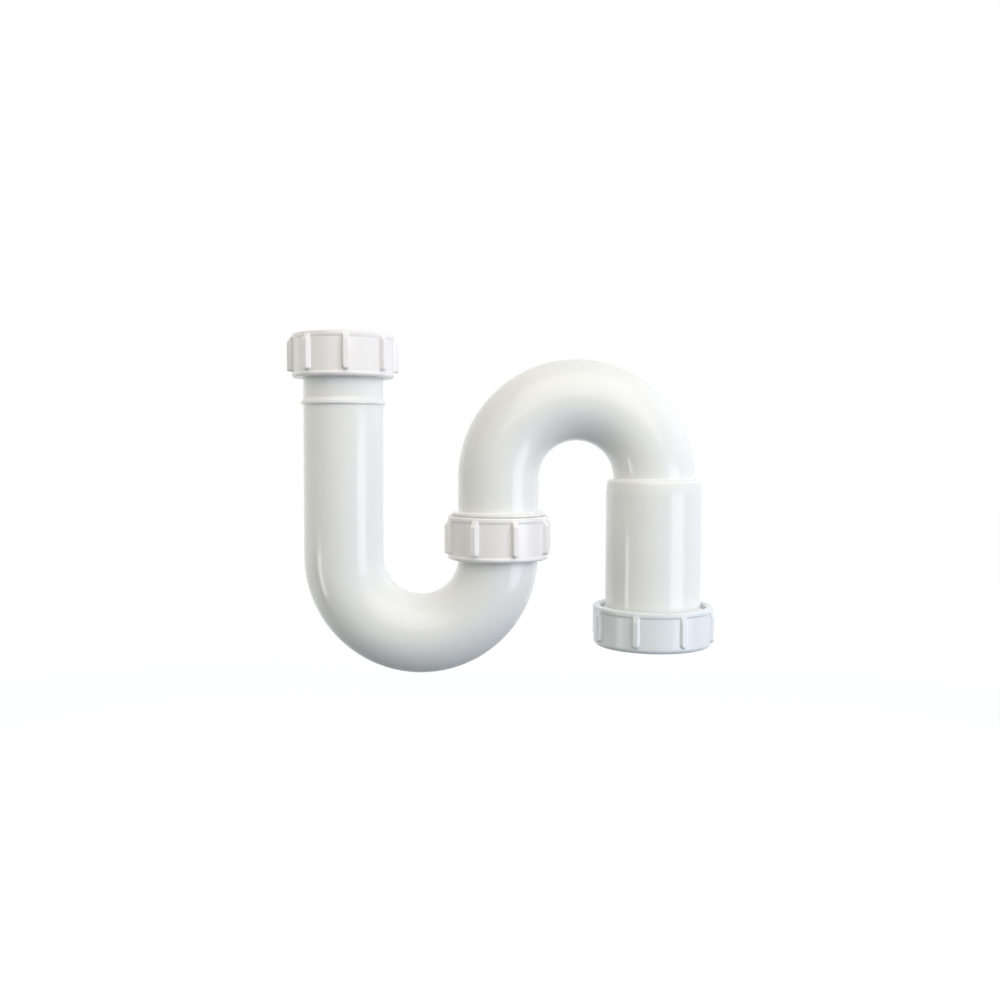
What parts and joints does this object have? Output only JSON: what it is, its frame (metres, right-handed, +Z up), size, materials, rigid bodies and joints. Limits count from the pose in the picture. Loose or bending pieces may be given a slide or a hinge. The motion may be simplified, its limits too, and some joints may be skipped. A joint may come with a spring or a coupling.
{
  "type": "s trap",
  "caption": "White tubular plumbing S trap: U bend and swivelling swan neck joined by ribbed hand nuts, threaded inlet nut on top and a compression socket for the waste pipe below.",
  "frame": {"origin": "on the inlet axis, at the top face of the inlet washer that the basin waste presses on", "axes": "+Z up out of the inlet, +X from the inlet leg to the outlet, the bends lie in the XZ plane"},
  "size_m": [0.1953, 0.055, 0.1556],
  "materials": {
    "white_plastic": "glossy moulded",
    "nut_plastic": "glossy moulded",
    "slip_ring_plastic": "satin",
    "black_rubber": "matt"
  },
  "bodies": {
    "u_bend": {"u_bend": "white_plastic", "inlet_washer": "black_rubber", "swivel_washer": "black_rubber"},
    "inlet_nut": {"inlet_nut": "nut_plastic"},
    "swivel_nut": {"swivel_nut": "nut_plastic"},
    "swan_neck": {"swan_neck": "white_plastic", "outlet_seal": "black_rubber"},
    "outlet_slip_ring": {"outlet_slip_ring": "slip_ring_plastic"},
    "outlet_nut": {"outlet_nut": "nut_plastic"}
  },
  "joints": [
    {"name": "inlet_nut_turn", "type": "hinge", "parent": "u_bend", "child": "inlet_nut", "pos_m": [0, 0, 0], "axis": [0, 0, 1], "continuous": true},
    {"name": "swivel_nut_turn", "type": "hinge", "parent": "u_bend", "child": "swivel_nut", "pos_m": [0.0714, 0, -0.083], "axis": [0, 0, -1], "range_deg": [0, 360]},
    {"name": "neck_swivel", "type": "hinge", "parent": "u_bend", "child": "swan_neck", "pos_m": [0.0714, 0, -0.083], "axis": [0, 0, 1], "range_deg": [-135, 135]},
    {"name": "slip_ring_travel", "type": "slide", "parent": "swan_neck", "child": "outlet_slip_ring", "axis": [0, 0, -1], "range_m": [0, 0.007]},
    {"name": "outlet_nut_turn", "type": "hinge", "parent": "outlet_slip_ring", "child": "outlet_nut", "pos_m": [0.1428, 0, -0.127], "axis": [0, 0, -1], "range_deg": [0, 1080]}
  ],
  "couplings": [
    {"joint": "slip_ring_travel", "follows": "outlet_nut_turn", "m_per_rad": 0.0003675}
  ]
}
